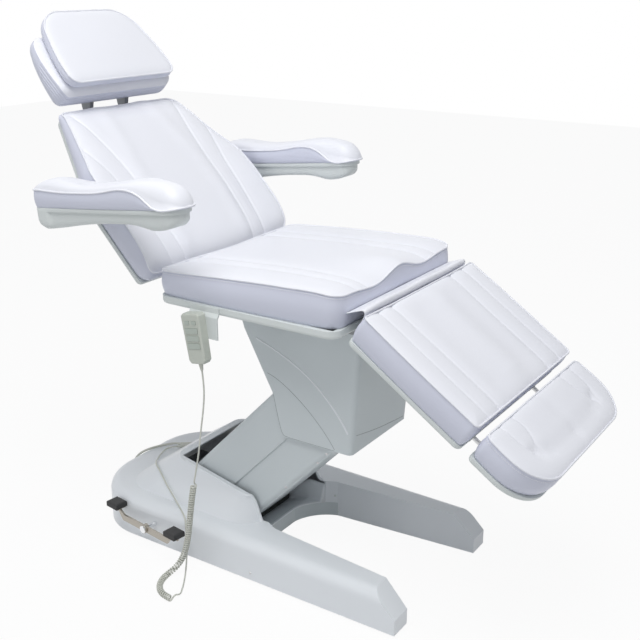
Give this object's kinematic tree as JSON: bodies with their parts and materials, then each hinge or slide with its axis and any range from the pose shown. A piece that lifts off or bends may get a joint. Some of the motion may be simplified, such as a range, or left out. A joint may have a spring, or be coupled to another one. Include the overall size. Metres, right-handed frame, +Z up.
{
  "type": "facial bed",
  "caption": "White padded treatment bed with tilting back, head and leg rests, sliding footrest, armrests and a powered parallelogram lift on a moulded forked base.",
  "frame": {"origin": "on the floor under the middle of the bed at its pictured pose", "axes": "+X from head to feet, +Y across the bed, +Z up"},
  "size_m": [1.5959, 0.8964, 1.4788],
  "materials": {
    "upholstery": "satin",
    "base_plastic": "satin",
    "trim_plastic": "satin",
    "frame_paint": "satin",
    "bare_steel": "satin",
    "pedal_steel": "satin",
    "chrome": "polished",
    "black_rubber": "matte",
    "motor_paint": "satin",
    "handset_plastic": "satin",
    "key_plastic": "satin",
    "cord": "satin",
    "tie": "matte"
  },
  "bodies": {
    "base": {"base_cover": "base_plastic", "arch_panel": "base_plastic", "base_frame": "frame_paint", "levelling_feet": "black_rubber", "base_pins": "bare_steel", "lift_motor": "motor_paint", "control_box": "motor_paint", "cable_gland": "cord", "handset_tail": "cord", "handset_curl": "cord", "handset_lead": "cord", "mains_lead": "cord", "mains_coil": "cord", "coil_tie": "tie", "mains_plug": "cord", "pedal_pin": "chrome"},
    "pedal": {"pedal_bar": "pedal_steel", "pedal_pads": "black_rubber"},
    "upper_link": {"upper_link_arms": "frame_paint", "upper_link_cover": "base_plastic"},
    "lower_link": {"lower_link_arms": "frame_paint", "lower_link_cover": "base_plastic"},
    "column": {"column_frame": "frame_paint", "column_skirt": "base_plastic", "seat_tray": "trim_plastic", "seat_cushion": "upholstery", "handset_hook": "trim_plastic", "tray_bumpers": "black_rubber", "back_motor": "motor_paint", "leg_motor": "motor_paint", "column_pins": "bare_steel", "handset_shell": "handset_plastic", "handset_boot": "cord"},
    "backrest": {"back_shell": "trim_plastic", "back_cushion": "upholstery", "back_frame": "frame_paint", "back_pins": "bare_steel"},
    "headrest": {"headrest_block": "upholstery", "headrest_pillow": "upholstery", "headrest_bracket": "frame_paint"},
    "armrest_left": {"armrest_base_left": "trim_plastic", "armrest_pad_left": "upholstery"},
    "armrest_right": {"armrest_base_right": "trim_plastic", "armrest_pad_right": "upholstery"},
    "legrest": {"leg_shell": "trim_plastic", "leg_cushion": "upholstery", "leg_frame": "frame_paint", "seat_flap": "upholstery"},
    "footrest": {"foot_shell": "trim_plastic", "foot_cushion": "upholstery", "foot_rods": "bare_steel"},
    "lift_rod": {"lift_rod": "bare_steel"},
    "back_rod": {"back_rod": "bare_steel"},
    "leg_rod": {"leg_rod": "bare_steel"},
    "key_memory_left": {"key_memory_left": "key_plastic"},
    "key_memory_right": {"key_memory_right": "key_plastic"},
    "key_back": {"key_back": "key_plastic"},
    "key_leg": {"key_leg": "key_plastic"},
    "key_lift": {"key_lift": "key_plastic"}
  },
  "joints": [
    {"name": "lift", "type": "hinge", "parent": "base", "child": "upper_link", "pos_m": [-0.266, 0, 0.1745], "axis": [0, 1, 0], "range_deg": [0, 28], "deforming": ["handset_lead", "handset_curl"]},
    {"name": "lower_swing", "type": "hinge", "parent": "base", "child": "lower_link", "pos_m": [-0.20426, 0, 0.0757], "axis": [0, 1, 0], "range_deg": [0, 28]},
    {"name": "column_level", "type": "hinge", "parent": "upper_link", "child": "column", "pos_m": [0.08828, 0, 0.54136], "axis": [0, 1, 0], "range_deg": [-28, 0]},
    {"name": "lift_rod_push", "type": "slide", "parent": "base", "child": "lift_rod", "axis": [1, 0, 0], "range_m": [-0.04647, 0]},
    {"name": "backrest_tilt", "type": "hinge", "parent": "column", "child": "backrest", "pos_m": [-0.312, 0, 0.8], "axis": [0, 1, 0], "range_deg": [-47, 25]},
    {"name": "back_rod_push", "type": "slide", "parent": "column", "child": "back_rod", "axis": [1, 0, 0], "range_m": [-0.02581, 0.04808]},
    {"name": "headrest_tilt", "type": "hinge", "parent": "backrest", "child": "headrest", "pos_m": [-0.70908, 0, 1.20089], "axis": [0, 1, 0], "range_deg": [-25, 14]},
    {"name": "armrest_left_level", "type": "hinge", "parent": "backrest", "child": "armrest_left", "pos_m": [-0.50994, 0, 0.98733], "axis": [0, 1, 0], "range_deg": [-25, 47]},
    {"name": "armrest_right_level", "type": "hinge", "parent": "backrest", "child": "armrest_right", "pos_m": [-0.50994, 0, 0.98733], "axis": [0, 1, 0], "range_deg": [-25, 47]},
    {"name": "legrest_tilt", "type": "hinge", "parent": "column", "child": "legrest", "pos_m": [0.287, 0, 0.764], "axis": [0, 1, 0], "range_deg": [-34, 28]},
    {"name": "leg_rod_push", "type": "slide", "parent": "column", "child": "leg_rod", "axis": [1, 0, 0], "range_m": [-0.02143, 0.02592]},
    {"name": "footrest_slide", "type": "slide", "parent": "legrest", "child": "footrest", "axis": [0.829, 0, -0.5592], "range_m": [0, 0.12]},
    {"name": "pedal_rock", "type": "hinge", "parent": "base", "child": "pedal", "pos_m": [-0.361, -0.302, 0.072], "axis": [0.1392, 0.9903, 0], "range_deg": [-10, 10], "stiffness_Nm_per_rad": 20},
    {"name": "key_memory_left_press", "type": "slide", "parent": "column", "child": "key_memory_left", "axis": [0, 1, 0], "range_m": [0, 0.0008], "stiffness_N_per_m": 1500},
    {"name": "key_memory_right_press", "type": "slide", "parent": "column", "child": "key_memory_right", "axis": [0, 1, 0], "range_m": [0, 0.0008], "stiffness_N_per_m": 1500},
    {"name": "key_back_press", "type": "slide", "parent": "column", "child": "key_back", "axis": [0, 1, 0], "range_m": [0, 0.0008], "stiffness_N_per_m": 1500},
    {"name": "key_leg_press", "type": "slide", "parent": "column", "child": "key_leg", "axis": [0, 1, 0], "range_m": [0, 0.0008], "stiffness_N_per_m": 1500},
    {"name": "key_lift_press", "type": "slide", "parent": "column", "child": "key_lift", "axis": [0, 1, 0], "range_m": [0, 0.0008], "stiffness_N_per_m": 1500}
  ],
  "couplings": [
    {"joint": "lower_swing", "follows": "lift", "ratio": 1},
    {"joint": "column_level", "follows": "lift", "ratio": -1},
    {"joint": "lift_rod_push", "follows": "lift", "m_per_rad": -0.094057},
    {"joint": "back_rod_push", "follows": "backrest_tilt", "m_per_rad": -0.058},
    {"joint": "armrest_left_level", "follows": "backrest_tilt", "ratio": -1},
    {"joint": "armrest_right_level", "follows": "backrest_tilt", "ratio": -1},
    {"joint": "leg_rod_push", "follows": "legrest_tilt", "m_per_rad": -0.042836}
  ]
}
